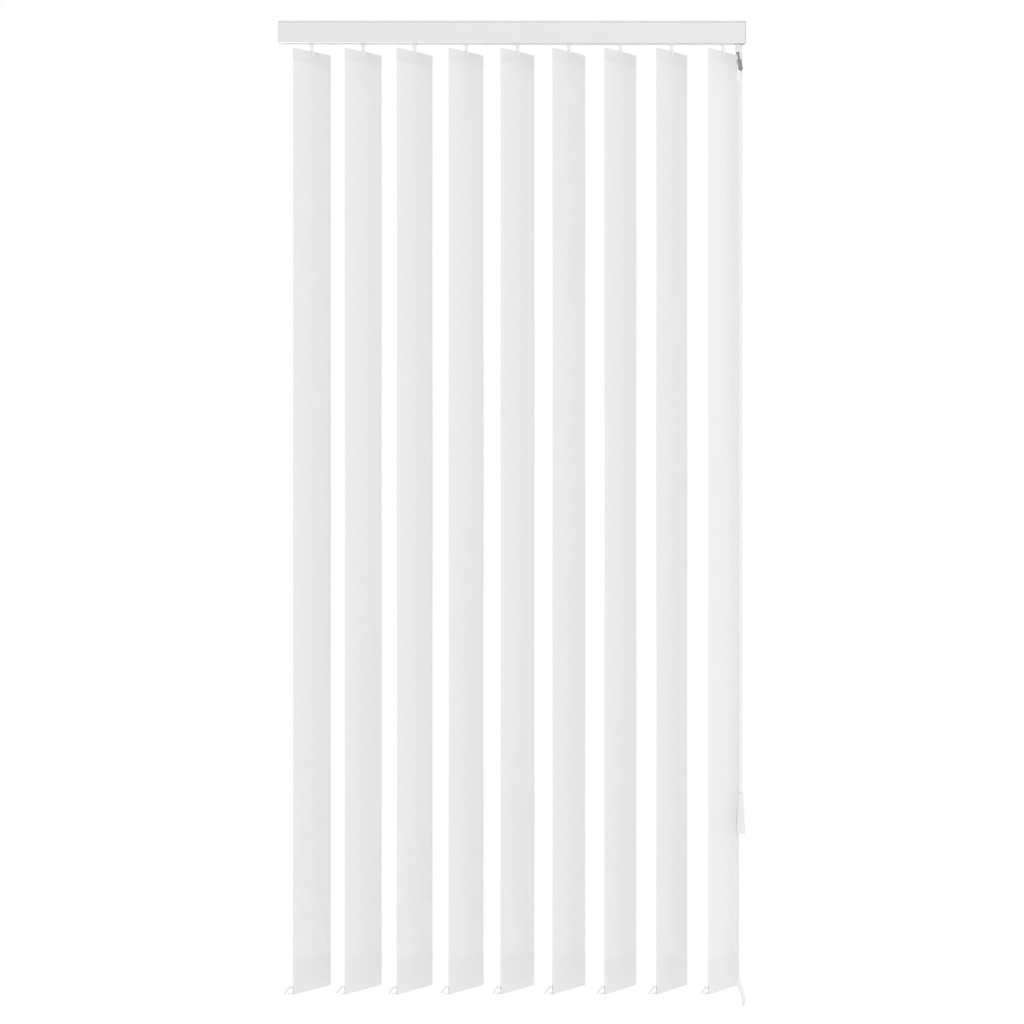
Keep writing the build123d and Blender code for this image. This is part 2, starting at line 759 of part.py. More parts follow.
# Cord weight: a flat tapered body with a slot for the cord and a pin that the cord turns round
slot_width = 2 * turn_radius + cord_diameter + 2 * weight_slot_play
slot_thickness = cord_diameter + 2 * weight_slot_play
with BuildPart() as cord_weight:
    with BuildSketch(Plane.XY.offset(weight_top_z)):
        with Locations((weight_x, weight_y)):
            RectangleRounded(weight_top_width, weight_top_thickness, weight_corner)
    with BuildSketch(Plane.XY.offset(weight_top_z - weight_height)):
        with Locations((weight_x, weight_y)):
            RectangleRounded(weight_width, weight_thickness, weight_corner)
    loft()
    with BuildSketch(Plane.XY.offset(weight_top_z)):
        with Locations((weight_x, weight_y)):
            Rectangle(slot_width, slot_thickness)
    extrude(amount=-(turn_depth + weight_slot_end), mode=Mode.SUBTRACT)
    with BuildSketch(Plane.XZ.offset(-weight_y)):
        with Locations((weight_x, turn_z + turn_radius)):
            Circle(weight_pin_radius)
    extrude(amount=slot_thickness / 2, both=True)
cord_weight.part.label = "cord_weight"
export_step(cord_weight.part, "parts/cord_weight.step")

# Chain connector: a flat snap piece that joins the two ends of the chain and leans with them
connector_top = (front_strand - 1.2, -70.5)
connector_waist = (front_strand + 1.0, -84)
connector_middle = (front_strand + 1.6, -87)
connector_bottom = (front_strand + 4.4, -103.5)
with BuildPart() as chain_connector:
    with BuildSketch(Plane.XZ.offset(-connector_y)):
        with Locations(connector_top):
            Circle(connector_top_radius)
        with BuildLine():
            Polyline(connector_top, connector_waist)
        trace(line_width=connector_neck)
        with Locations(connector_bottom):
            Circle(connector_bottom_radius)
        with Locations(connector_middle):
            Circle(connector_middle_radius)
        with BuildLine():
            Polyline(connector_middle, connector_bottom)
        trace(line_width=connector_body)
    extrude(amount=connector_thickness / 2, both=True)
chain_connector.part.label = "chain_connector"
export_step(chain_connector.part, "parts/chain_connector.step")
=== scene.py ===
import bpy
import numpy as np
from math import cos, pi, radians, sin
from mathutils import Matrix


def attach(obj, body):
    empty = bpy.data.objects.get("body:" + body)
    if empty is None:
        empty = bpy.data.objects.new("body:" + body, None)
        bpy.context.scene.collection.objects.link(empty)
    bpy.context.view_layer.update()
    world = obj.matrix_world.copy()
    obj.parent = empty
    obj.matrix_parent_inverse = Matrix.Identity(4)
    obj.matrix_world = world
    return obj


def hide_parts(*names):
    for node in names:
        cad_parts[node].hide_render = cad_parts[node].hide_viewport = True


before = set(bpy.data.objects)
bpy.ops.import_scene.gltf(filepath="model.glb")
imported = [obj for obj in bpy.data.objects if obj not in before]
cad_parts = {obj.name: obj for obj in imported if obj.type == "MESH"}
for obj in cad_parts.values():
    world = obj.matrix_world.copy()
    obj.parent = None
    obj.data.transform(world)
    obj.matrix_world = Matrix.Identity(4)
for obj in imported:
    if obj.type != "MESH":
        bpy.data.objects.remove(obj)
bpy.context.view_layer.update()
louvreCount = 9
louvreNumbers = range(1, louvreCount + 1)
print("frame loaded:", len(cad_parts), "solids")


def toMesh(name, points, faceGroups, material, coordinates=None):
    # points is a row of x, y, z for each vertex; coordinates, if given, is u and v for each vertex;
    # each group of faces is an array with one row of corners for each face
    faces = [face for group in faceGroups for face in group.tolist()]
    mesh = bpy.data.meshes.new(name)
    mesh.from_pydata(points.reshape(-1, 3).tolist(), [], faces)
    mesh.shade_smooth()
    if coordinates is not None:
        corner = np.zeros(len(mesh.loops), np.int32)
        mesh.loops.foreach_get("vertex_index", corner)
        layer = mesh.uv_layers.new(name="run")
        layer.uv.foreach_set("vector", coordinates.reshape(-1, 2)[corner].astype(np.float32).ravel())
    mesh.materials.append(material)
    made = bpy.data.objects.new(name, mesh)
    bpy.context.scene.collection.objects.link(made)
    return made


def gridFaces(rows, columns, closed=False):
    # quads between neighbouring rows and columns of a grid; closed joins the last column to the first
    across = columns if closed else columns - 1
    row, column = np.meshgrid(np.arange(rows - 1), np.arange(across), indexing="ij")
    after = (column + 1) % columns
    here, above = row * columns, (row + 1) * columns
    return np.stack([here + column, here + after, above + after, above + column], -1).reshape(-1, 4)


def fanFaces(ring, tip, backward=False):
    # triangles between a closed ring of corners and one point
    after = np.roll(ring, -1)
    pair = (after, ring) if backward else (ring, after)
    return np.stack([*pair, np.full(len(ring), tip)], -1)


def endFans(body, sides):
    # closes a grid of body corners, in rings of so many sides, with the two points that follow it
    first = fanFaces(np.arange(sides), body)
    last = fanFaces(np.arange(body - sides, body), body + 1, backward=True)
    return np.r_[first, last]


def smoothStep(low, high, value):
    # 0 below low, 1 above high, and an S-curve of third order between them
    share = np.clip((value - low) / (high - low), 0, 1)
    return share * share * (3 - 2 * share)


def addNode(tree, kind, inputs=None, **settings):
    # a node whose inputs take a number, a colour or another node's output
    made = tree.nodes.new(kind)
    for key, value in settings.items():
        setattr(made, key, value)
    for key, value in (inputs or {}).items():
        if isinstance(value, bpy.types.NodeSocket):
            tree.links.new(value, made.inputs[key])
        else:
            made.inputs[key].default_value = value
    return made


def maths(tree, operation, first, second=0.0):
    made = addNode(tree, "ShaderNodeMath", operation=operation)
    for socket, value in zip(made.inputs, (first, second)):
        if isinstance(value, bpy.types.NodeSocket):
            tree.links.new(value, socket)
        else:
            socket.default_value = value
    return made.outputs[0]


def separated(tree, vector):
    # the x, y and z of a vector
    return addNode(tree, "ShaderNodeSeparateXYZ", {"Vector": vector}).outputs


def objectPlace(tree):
    return addNode(tree, "ShaderNodeTexCoord").outputs["Object"]


def ownRun(tree):
    # a piece's own map, in metres along it
    return addNode(tree, "ShaderNodeUVMap", uv_map="run").outputs["UV"]


def newFinish(name, roughness, metallic=0.0, specular=0.5):
    # a material with one shader, ready for its colour and bump
    material = bpy.data.materials.new(name)
    material.use_nodes = True
    tree = material.node_tree
    shader = tree.nodes["Principled BSDF"]
    shader.inputs["Roughness"].default_value = roughness
    shader.inputs["Metallic"].default_value = metallic
    shader.inputs["Specular IOR Level"].default_value = specular
    return material, tree, shader


def blendColours(tree, share, first, second):
    # first where share is 0 and second where it is 1
    mixed = addNode(tree, "ShaderNodeMix", data_type="RGBA")
    tree.links.new(share, mixed.inputs["Factor"])
    for socket, colour in (("A", first), ("B", second)):
        target = [s for s in mixed.inputs if s.name == socket and s.type == "RGBA"][0]
        if isinstance(colour, bpy.types.NodeSocket):
            tree.links.new(colour, target)
        else:
            target.default_value = (*colour, 1)
    return [s for s in mixed.outputs if s.type == "RGBA"][0]


def toned(colour, tone):
    return tuple(tone * part for part in colour)


def addBump(tree, shader, height, distance):
    bump = addNode(tree, "ShaderNodeBump", {"Height": height, "Distance": distance, "Strength": 1.0})
    tree.links.new(bump.outputs["Normal"], shader.inputs["Normal"])


def objectNoise(tree, stretch, scale, detail):
    # noise on Object coordinates, stretched along each axis
    turned = addNode(tree, "ShaderNodeMapping", {"Vector": objectPlace(tree), "Scale": stretch})
    inputs = {"Vector": turned.outputs["Vector"], "Scale": scale, "Detail": detail}
    return addNode(tree, "ShaderNodeTexNoise", inputs).outputs[0]


def heightBand(tree, height, low, high, soft):
    # 1 between two heights and 0 outside them, with soft ends
    inputs = {"Value": height, "From Min": low - soft, "From Max": low + soft}
    rising = addNode(tree, "ShaderNodeMapRange", inputs)
    inputs = {"Value": height, "From Min": high - soft, "From Max": high + soft, "To Min": 1.0, "To Max": 0.0}
    falling = addNode(tree, "ShaderNodeMapRange", inputs)
    return maths(tree, "MULTIPLY", rising.outputs[0], falling.outputs[0])


moulded = {"specular": 0.45, "cloudScale": 90, "grainScale": 2600, "grain": 0.00001}


def mouldedFinish(name, colour, shade, roughness):
    # moulded plastic: slow cloudy change of tone, and a fine eroded grain
    material, tree, shader = newFinish(name, roughness, specular=moulded["specular"])
    clouds = objectNoise(tree, (1, 1, 1), moulded["cloudScale"], 3)
    tree.links.new(blendColours(tree, clouds, colour, shade), shader.inputs["Base Color"])
    addBump(tree, shader, objectNoise(tree, (1, 1, 1), moulded["grainScale"], 2), moulded["grain"])
    return material


# heights and depths of the rail's zones in metres; a tone multiplies the white
rail = {
    "white": (0.735, 0.735, 0.735), "roughness": 0.5, "specular": 0.35,
    "drawStretch": (0.6, 160, 160), "drawScale": 6, "drawTone": 0.975, "drawHeight": 0.5,
    "peelScale": 1300, "relief": 0.000012,
    # the groove's tone is painted shade under the top edge, and the edge's tone a painted highlight below it
    "lowEdge": -0.0056, "highEdge": -0.0034, "soft": 0.0003, "grooveShadeTone": 0.87,
    "edgeWidth": 0.0022, "edgeHighlightTone": 1.05,
    # below the under heights and inside the inner width the white is painted lighter, against the shade there
    "under": -0.06, "underHigh": -0.012, "inner": 0.0193, "undersideLitWhite": (0.90, 0.90, 0.90),
}


def railFinish():
    # powder coat on an extrusion: faint draw lines along the rail under a fine orange peel;
    # painted shade darkens the groove under the top edge, a painted highlight brightens the edge below
    # the groove, and the underside and the inside are painted a lighter white that offsets their shade
    material, tree, shader = newFinish("whitePowderCoat", rail["roughness"], specular=rail["specular"])
    white, soft = rail["white"], rail["soft"]
    low, high = rail["lowEdge"], rail["highEdge"]
    draw = objectNoise(tree, rail["drawStretch"], rail["drawScale"], 2)
    peel = objectNoise(tree, (1, 1, 1), rail["peelScale"], 2)
    place = separated(tree, objectPlace(tree))
    plain = blendColours(tree, draw, white, toned(white, rail["drawTone"]))
    # painted shade: the band of the groove under the top edge is darkened
    groove = heightBand(tree, place["Z"], low, high, soft)
    grooveShaded = blendColours(tree, groove, plain, toned(white, rail["grooveShadeTone"]))
    # painted highlight: the band just below the groove is lightened
    edge = heightBand(tree, place["Z"], low - rail["edgeWidth"], low, soft)
    edgeHighlit = blendColours(tree, edge, grooveShaded, toned(white, rail["edgeHighlightTone"]))
    # painted light: the underside and the inside take a lighter white that offsets their shade
    below = heightBand(tree, place["Z"], rail["under"], rail["underHigh"], soft)
    inside = heightBand(tree, place["Y"], -rail["inner"], rail["inner"], soft)
    undersideLit = maths(tree, "MULTIPLY", below, inside)
    tree.links.new(blendColours(tree, undersideLit, edgeHighlit, rail["undersideLitWhite"]), shader.inputs["Base Color"])
    height = maths(tree, "ADD", maths(tree, "MULTIPLY", draw, rail["drawHeight"]), peel)
    addBump(tree, shader, height, rail["relief"])
    return material


weave = {
    "white": (0.92, 0.92, 0.92), "slubTone": 0.955, "roughness": 0.92, "specular": 0.12,
    "pitch": 0.00062, "weaveHeight": 0.5, "slubScale": (26, 900, 1), "relief": 0.00006, "through": 0.15,
}


def clothFinish():
    # plain weave on the strip's own run: warp and weft ridges as the product of two sines, slubs along
    # the weft, and a little light that comes through
    material, tree, shader = newFinish("wovenLouvreCloth", weave["roughness"], specular=weave["specular"])
    run = ownRun(tree)
    place = separated(tree, run)
    turns = 2 * pi / weave["pitch"]
    warp = maths(tree, "SINE", maths(tree, "MULTIPLY", place["X"], turns))
    weft = maths(tree, "SINE", maths(tree, "MULTIPLY", place["Y"], turns))
    crossed = maths(tree, "MULTIPLY", warp, weft)
    wide = addNode(tree, "ShaderNodeMapping", {"Vector": run, "Scale": weave["slubScale"]})
    inputs = {"Vector": wide.outputs["Vector"], "Scale": 1.0, "Detail": 3.0}
    slub = addNode(tree, "ShaderNodeTexNoise", inputs).outputs[0]
    white = weave["white"]
    colour = blendColours(tree, slub, white, toned(white, weave["slubTone"]))
    tree.links.new(colour, shader.inputs["Base Color"])
    height = maths(tree, "ADD", maths(tree, "MULTIPLY", crossed, weave["weaveHeight"]), slub)
    addBump(tree, shader, height, weave["relief"])
    glow = addNode(tree, "ShaderNodeBsdfTranslucent", {"Color": (*white, 1)})
    inputs = {0: weave["through"], 1: shader.outputs[0], 2: glow.outputs[0]}
    mixed = addNode(tree, "ShaderNodeMixShader", inputs)
    tree.links.new(mixed.outputs[0], tree.nodes["Material Output"].inputs["Surface"])
    return material


braid = {
    "white": (0.84, 0.84, 0.84), "valleyShadeTone": 0.86, "roughness": 0.8, "specular": 0.2,
    "lay": 0.0032, "strands": 4, "relief": 0.00012,
}


def braidFinish():
    # two sets of strands that wind round the cord in opposite directions, as the higher of two sines;
    # u is metres along, v turns round
    material, tree, shader = newFinish("braidedCord", braid["roughness"], specular=braid["specular"])
    place = separated(tree, ownRun(tree))
    along = maths(tree, "MULTIPLY", place["X"], 2 * pi / braid["lay"])
    around = maths(tree, "MULTIPLY", place["Y"], 2 * pi * braid["strands"])
    right = maths(tree, "SINE", maths(tree, "ADD", along, around))
    left = maths(tree, "SINE", maths(tree, "SUBTRACT", along, around))
    strands = maths(tree, "MAXIMUM", right, left)
    share = maths(tree, "MULTIPLY", maths(tree, "ADD", strands, 1.0), 0.5)
    # painted shade: the valleys between the strands are coloured darker
    colour = blendColours(tree, share, toned(braid["white"], braid["valleyShadeTone"]), braid["white"])
    tree.links.new(colour, shader.inputs["Base Color"])
    addBump(tree, shader, strands, braid["relief"])
    return material


ply = {
    "white": (0.86, 0.86, 0.86), "valleyShadeTone": 0.84, "roughness": 0.6, "specular": 0.3,
    "lay": 0.0007, "plies": 2, "relief": 0.00005,
}


def threadFinish():
    # sewing thread: plies that wind round it in one direction, as one sine
    material, tree, shader = newFinish("sewingThread", ply["roughness"], specular=ply["specular"])
    place = separated(tree, ownRun(tree))
    along = maths(tree, "MULTIPLY", place["X"], 2 * pi / ply["lay"])
    around = maths(tree, "MULTIPLY", place["Y"], 2 * pi * ply["plies"])
    plies = maths(tree, "SINE", maths(tree, "ADD", along, around))
    share = maths(tree, "MULTIPLY", maths(tree, "ADD", plies, 1.0), 0.5)
    # painted shade: the valleys between the plies are coloured darker
    colour = blendColours(tree, share, toned(ply["white"], ply["valleyShadeTone"]), ply["white"])
    tree.links.new(colour, shader.inputs["Base Color"])
    addBump(tree, shader, plies, ply["relief"])
    return material


metalGrain = 0.00001


def metalFinish(name, colour, dull, roughness, stretch, scale):
    # bare or plated metal: its tone follows the direction in which it was drawn or rolled
    material, tree, shader = newFinish(name, roughness, metallic=1.0)
    grain = objectNoise(tree, stretch, scale, 4)
    tree.links.new(blendColours(tree, grain, colour, dull), shader.inputs["Base Color"])
    addBump(tree, shader, grain, metalGrain)
    return material


# colour, the shade of its clouds, roughness
plasticTones = {
    # the end cap's and the control housing's tones are painted shade: darker than the rail's white so their
    # rims read as shaded edges, the control end's the darker
    "capPlasticShaded": ((0.67, 0.67, 0.67), (0.64, 0.64, 0.64), 0.45),
    "controlPlasticShaded": ((0.55, 0.55, 0.55), (0.52, 0.52, 0.52), 0.45),
    "carrierPlastic": ((0.80, 0.80, 0.79), (0.77, 0.77, 0.76), 0.4),
    "stemPlastic": ((0.88, 0.88, 0.88), (0.85, 0.85, 0.85), 0.38),
    "hangerPlastic": ((0.84, 0.84, 0.83), (0.80, 0.80, 0.79), 0.35),
    "drivePlastic": ((0.78, 0.78, 0.77), (0.74, 0.74, 0.73), 0.35),
    "beadPlastic": ((0.82, 0.82, 0.82), (0.78, 0.78, 0.78), 0.3),
    "greyPlastic": ((0.24, 0.24, 0.245), (0.21, 0.21, 0.215), 0.35),
    "weightPlastic": ((0.77, 0.77, 0.77), (0.73, 0.73, 0.73), 0.25),
    "plateCoat": ((0.72, 0.72, 0.72), (0.68, 0.68, 0.68), 0.4),
}
# colour, its dull tone, roughness, stretch and scale of the grain
metalTones = {
    "zincSteel": ((0.62, 0.63, 0.64), (0.50, 0.51, 0.52), 0.38, (1, 1, 1), 140),
    "drawnAluminium": ((0.72, 0.73, 0.74), (0.62, 0.63, 0.64), 0.3, (0.4, 260, 260), 5),
}
railCoat = railFinish()
louvreCloth = clothFinish()
cordBraid = braidFinish()
sewingThread = threadFinish()
plastic = {name: mouldedFinish(name, *tones) for name, tones in plasticTones.items()}
metal = {name: metalFinish(name, *tones) for name, tones in metalTones.items()}
print("finishes made")

nodeFinish = {
    "head_rail": railCoat, "tilt_rod": metal["drawnAluminium"],
    "bracket_left": metal["zincSteel"], "bracket_right": metal["zincSteel"],
    "end_cap_left": plastic["capPlasticShaded"], "control_housing": plastic["controlPlasticShaded"],
    "cord_weight": plastic["weightPlastic"], "chain_connector": plastic["greyPlastic"],
}
for name in ("chain_sprocket", "left_pulley", "upper_pulley", "lower_pulley"):
    nodeFinish[name] = plastic["drivePlastic"]
for number in louvreNumbers:
    nodeFinish[f"carrier_{number}"] = plastic["carrierPlastic"]
    nodeFinish[f"stem_{number}"] = plastic["stemPlastic"]
    nodeFinish[f"hanger_{number}"] = plastic["hangerPlastic"]
    nodeFinish[f"weight_plate_{number}"] = plastic["plateCoat"]
for name, finish in nodeFinish.items():
    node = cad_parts[name]
    node.data.materials.clear()
    node.data.materials.append(finish)


view = {"distance": 5.4, "height": -0.9966, "lens": 85.6, "shift": -0.04, "reach": 60}
camera = bpy.data.objects.new("camera", bpy.data.cameras.new("camera"))
camera.data.lens = view["lens"]
camera.data.shift_y = view["shift"]
camera.data.clip_end = view["reach"]
camera.location = (0, -view["distance"], view["height"])
camera.rotation_euler = (radians(90), 0, 0)
bpy.context.scene.collection.objects.link(camera)
bpy.context.scene.camera = camera
bpy.context.scene.view_settings.view_transform = "Standard"


# each lamp looks at the middle of the blind at its own height; the one behind brightens the louvres'
# backs, which light their neighbours' fronts
lamps = {
    "keyLight": {"height": -1.5, "azimuth": 16, "elevation": 5, "distance": 6.0, "size": 1.6, "power": 38},
    "sideLight": {"height": -1.1, "azimuth": 112, "elevation": 6, "distance": 5.0, "size": 2.0, "power": 6},
    "backLight": {"height": -1.3, "azimuth": 190, "elevation": 5, "distance": 6.0, "size": 1.6, "power": 42},
}


def addLamp(name, height, azimuth, elevation, distance, size, power):
    # a square soft box; azimuth is from straight ahead towards the right
    lamp = bpy.data.objects.new(name, bpy.data.lights.new(name, "AREA"))
    lamp.data.size = size
    lamp.data.energy = power
    turn, rise = radians(azimuth), radians(elevation)
    way = np.array([sin(turn) * cos(rise), -cos(turn) * cos(rise), sin(rise)])
    lamp.location = np.array((0, 0, height)) + distance * way
    lamp.rotation_euler = (radians(90 - elevation), 0, turn)
    lamp.visible_camera = False
    bpy.context.scene.collection.objects.link(lamp)


for name, settings in lamps.items():
    addLamp(name, **settings)

skyStrength = 1.0  # white to the camera
world = bpy.data.worlds.new("studio")
world.use_nodes = True
bpy.context.scene.world = world
world.node_tree.nodes["Background"].inputs["Color"].default_value = (1, 1, 1, 1)
world.node_tree.nodes["Background"].inputs["Strength"].default_value = skyStrength

ground = {"half": 6.0, "height": -2.42, "white": 0.95, "roughness": 0.9, "near": 0.8, "far": 2.6, "glow": 0.8}


def floorFinish():
    # near the blind the floor shows its shadow, and further away it turns into the white of the room
    material, tree, shader = newFinish("studioFloor", ground["roughness"], specular=0.0)
    shader.inputs["Base Color"].default_value = (ground["white"],) * 3 + (1,)
    place = separated(tree, objectPlace(tree))
    level = addNode(tree, "ShaderNodeCombineXYZ", {"X": place["X"], "Y": place["Y"]})
    away = addNode(tree, "ShaderNodeVectorMath", {"Vector": level.outputs[0]}, operation="LENGTH")
    fade = addNode(tree, "ShaderNodeMapRange", {
        "Value": away.outputs["Value"], "From Min": ground["near"], "From Max": ground["far"],
        "To Min": ground["glow"], "To Max": 1.0,
    })
    ray = addNode(tree, "ShaderNodeLightPath").outputs
    seen = maths(tree, "MAXIMUM", ray["Is Camera Ray"], ray["Is Glossy Ray"])
    seen = maths(tree, "MAXIMUM", seen, ray["Is Transmission Ray"])
    lit = maths(tree, "MULTIPLY", seen, fade.outputs[0])
    glow = addNode(tree, "ShaderNodeEmission", {"Color": (1, 1, 1, 1), "Strength": 1.0})
    mixed = addNode(tree, "ShaderNodeMixShader", {0: lit, 1: shader.outputs[0], 2: glow.outputs[0]})
    tree.links.new(mixed.outputs[0], tree.nodes["Material Output"].inputs["Surface"])
    return material


half, height = ground["half"], ground["height"]
floorPoints = np.array([[x * half, y * half, height] for x, y in ((-1, -1), (1, -1), (1, 1), (-1, 1))])
floor = toMesh("floor", floorPoints, [np.array([[0, 1, 2, 3]])], floorFinish())
print("camera, lamps and floor placed")


def splineLine(route, spacing):
    # the smooth line that a cord hangs in: a NURBS curve of third order on the route's points, which
    # are in millimetres, read at even steps
    curve = bpy.data.curves.new("route", "CURVE")
    curve.dimensions = "3D"
    curve.resolution_u = 32
    spline = curve.splines.new("NURBS")
    spline.points.add(len(route) - 1)
    spline.points.foreach_set("co", np.c_[np.array(route) / 1000, np.ones(len(route))].ravel())
    spline.order_u = 3
    spline.use_endpoint_u = True
    holder = bpy.data.objects.new("route", curve)
    bpy.context.scene.collection.objects.link(holder)
    line = bpy.data.meshes.new_from_object(holder)
    points = np.zeros(len(line.vertices) * 3)
    line.vertices.foreach_get("co", points)
    points = points.reshape(-1, 3)
    bpy.data.objects.remove(holder)
    along = np.r_[0, np.cumsum(np.linalg.norm(np.diff(points, axis=0), axis=1))]
    steps = np.linspace(0, along[-1], int(round(along[-1] / spacing)) + 1)
    return np.stack([np.interp(steps, along, points[:, axis]) for axis in range(3)], -1), steps


def ringsAlong(line, reference, sides):
    # at each point of the line, the way ahead and a circle of directions across it: the cosine and the
    # sine of a turn times two directions at right angles; reference is never along the line
    ahead = np.gradient(line, axis=0)
    ahead /= np.linalg.norm(ahead, axis=1)[:, None]
    side = np.cross(ahead, reference)
    side /= np.linalg.norm(side, axis=1)[:, None]
    up = np.cross(side, ahead)
    turn = np.linspace(0, 2 * pi, sides, endpoint=False)
    return ahead, np.cos(turn)[None, :, None] * side[:, None] + np.sin(turn)[None, :, None] * up[:, None]


def tubeParts(line, reference, radius, sides):
    # a circle of the given radius carried along the line, with a fan to the line's own point at each end
    rings = ringsAlong(line, reference, sides)[1]
    points = np.r_[(line[:, None] + radius * rings).reshape(-1, 3), line[[0, -1]]]
    walls = gridFaces(len(line), sides, closed=True)[:, ::-1]
    return points, [walls, endFans(len(line) * sides, sides)]


def cordTube(name, line, steps, reference, radius, sides, material):
    # a tube whose map is metres along it and turns round it
    points, faces = tubeParts(line, reference, radius, sides)
    around = np.linspace(0, 1, sides, endpoint=False)
    run = np.stack(np.broadcast_arrays(steps[:, None], around[None]), -1).reshape(-1, 2)
    run = np.r_[run, [[0, 0], [steps[-1], 0]]]
    return toMesh(name, points, faces, material, run)


# sizes of the mesh in metres, places of the route in millimetres
chain = {
    "bead": 0.0022, "thread": 0.0008, "pitch": 0.006, "rings": 5, "sides": 8,
    "threadSides": 6, "threadStep": 0.003,
    "front": 502.3, "back": 497.5, "middle": 500.0,
    "frontY": -14.049, "backY": 5.049, "strandY": 1.7, "top": -12.451,
}


def chainRoute():
    front, back, middle = chain["front"], chain["back"], chain["middle"]
    frontY, backY, y, top = chain["frontY"], chain["backY"], chain["strandY"], chain["top"]
    return [
        # out of the connector and up into the control
        (front - 0.9, -1.9, -74.5), (front, -2.2, -46), (middle, -8.0, -34.5), (middle, frontY, -27),
        # over the sprocket
        (middle, frontY, top), (middle, backY, top), (middle, backY, -32),
        # down the back strand
        (back, y, -51), (back, y, -75), (back, y, -2066), (back, y, -2099),
        # the loop's lower end, which hangs a little to the right
        (back + 2.2, 2.6, -2132), (back + 10.2, 4.8, -2152), (back + 15.4, 6.0, -2169),
        (back + 14.6, 4.4, -2182.5), (back + 14.9, -4.6, -2181.5), (back + 19.0, -4.4, -2168),
        (back + 14.2, -2.8, -2150), (back + 6.8, 0.4, -2130),
        # up the front strand and into the connector
        (front, y, -2098), (front, y, -2066), (front, y, -198), (front, y, -168),
        (front + 1.6, 0.2, -138), (front + 5.0, -2.0, -105),
    ]


def beadChain(line, reference):
    # a globe at each bead's place: the bead's radius times the cosine and sine of a rise and of a turn,
    # with its two poles on the thread
    rings, sides = chain["rings"], chain["sides"]
    ahead, flat = ringsAlong(line, reference, sides)
    rise = np.linspace(-0.5 * pi, 0.5 * pi, rings + 2)[1:-1][None, :, None, None]
    globe = np.cos(rise) * flat[:, None] + np.sin(rise) * ahead[:, None, None]
    poles = np.stack([-ahead, ahead], 1)
    points = line[:, None] + chain["bead"] * np.concatenate([globe.reshape(len(line), -1, 3), poles], 1)
    body = rings * sides
    start = (body + 2) * np.arange(len(line))[:, None, None]
    walls = gridFaces(rings, sides, closed=True)[:, ::-1][None] + start
    tips = endFans(body, sides)[None] + start
    return points.reshape(-1, 3), [walls.reshape(-1, 4), tips.reshape(-1, 3)]


sideways = np.array([1.0, 0, 0])
beadLine = splineLine(chainRoute(), chain["pitch"])[0]
threadLine, threadSteps = splineLine(chainRoute(), chain["threadStep"])
beadPoints, beadFaces = beadChain(beadLine, sideways)
threadPoints, threadFaces = tubeParts(threadLine, sideways, chain["thread"], chain["threadSides"])
threadFaces = [group + len(beadPoints) for group in threadFaces]
chainPoints = np.r_[beadPoints, threadPoints]
tiltChain = toMesh("tiltChain", chainPoints, [*beadFaces, *threadFaces], plastic["beadPlastic"])
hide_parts("bead_chain")
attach(tiltChain, "rail")

# sizes of the mesh in metres, places of the route in millimetres
pull = {
    "radius": 0.001, "sides": 10, "step": 0.003,
    "left": 506.0, "right": 510.0, "y": 10.0, "upper": -16.0, "lower": -31.0,
    "start": -443.6, "wheel": -507.0, "bend": 12,
    "weight": 507.0, "weightY": -3.2, "weightTop": -1709.0, "turn": -1769.0, "turnRadius": 2.0,
}


def pullRoute():
    left, right, y, bend = pull["left"], pull["right"], pull["y"], pull["bend"]
    upper, lower, start, wheel = pull["upper"], pull["lower"], pull["start"], pull["wheel"]
    near, far = pull["weight"] - pull["turnRadius"], pull["weight"] + pull["turnRadius"]
    top, turn, weightY = pull["weightTop"], pull["turn"], pull["weightY"]
    return [
        # from the first carrier to the right and round the lower pulley
        (start + 2, y, lower), (left - bend, y, lower), (left, y, lower),
        (left, y, -39.3), (left, 3.9, -45.8), (left, 3.8, -58),
        # down into the weight, round its inside and up again
        (near, weightY, top + 40), (near, weightY, top - 4), (near, weightY, turn + 4),
        (near, weightY, turn), (far, weightY, turn), (far, weightY, turn + 4),
        (far, weightY, top - 4), (far, weightY, top + 40),
        # round the upper pulley and back to the left
        (right, 3.8, -58), (right, 3.5, -46), (right, y, -33), (right, y, upper), (right - bend, y, upper),
        # round the left pulley to the first carrier
        (wheel + bend, y, upper), (wheel, y, upper), (wheel, y, lower), (wheel + bend, y, lower),
        (start - 2, y, lower),
    ]


pullLine, pullSteps = splineLine(pullRoute(), pull["step"])
pullCord = cordTube(
    "pullCord", pullLine, pullSteps, np.array([0, 1.0, 0]), pull["radius"], pull["sides"], cordBraid,
)
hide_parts("pull_cord")
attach(pullCord, "rail")
print("chain of", len(beadLine), "beads,", round(threadSteps[-1], 3), "m; cord", round(pullSteps[-1], 3), "m")


# in metres; prongs gives the height of each prong of the chain hook and half of what it takes up, and
# edgeColumns gives how far the grid's outer columns lie from the strip's edge
strip = {
    "width": 0.127, "length": 2.080, "thickness": 0.0005, "top": -0.0666, "angle": 54.0,
    "pitch": 0.114, "lastStem": 0.4684,
    "topPocket": 0.026, "topTaper": 0.009, "topHalf": 0.0010,
    "bottomPocket": 0.075, "bottomTaper": 0.027, "bottomHalf": 0.0012,
    "seam": 0.004, "skin": 0.00027, "margin": 0.0038,
    "prongs": ((0.0042, 0.0018), (0.0143, 0.0030)), "drape": 0.0014,
    "slitWidth": 0.0084, "slitHeight": 0.0125,
    "edgeColumns": (0, 0.0006, 0.0013, 0.0021, 0.003, 0.0042, 0.007), "inner": 0.012, "innerColumns": 10,
    "sharp": 50,
}
# how many rows of the grid lie on each stretch, and where the stretches meet, in metres
rows = {
    "fold": 9, "plate": 22, "hook": 24, "body": 120, "top": 24,
    "plateEnd": 0.026, "hookStart": 0.025, "lowGap": 0.0008, "highGap": 0.0005,
}
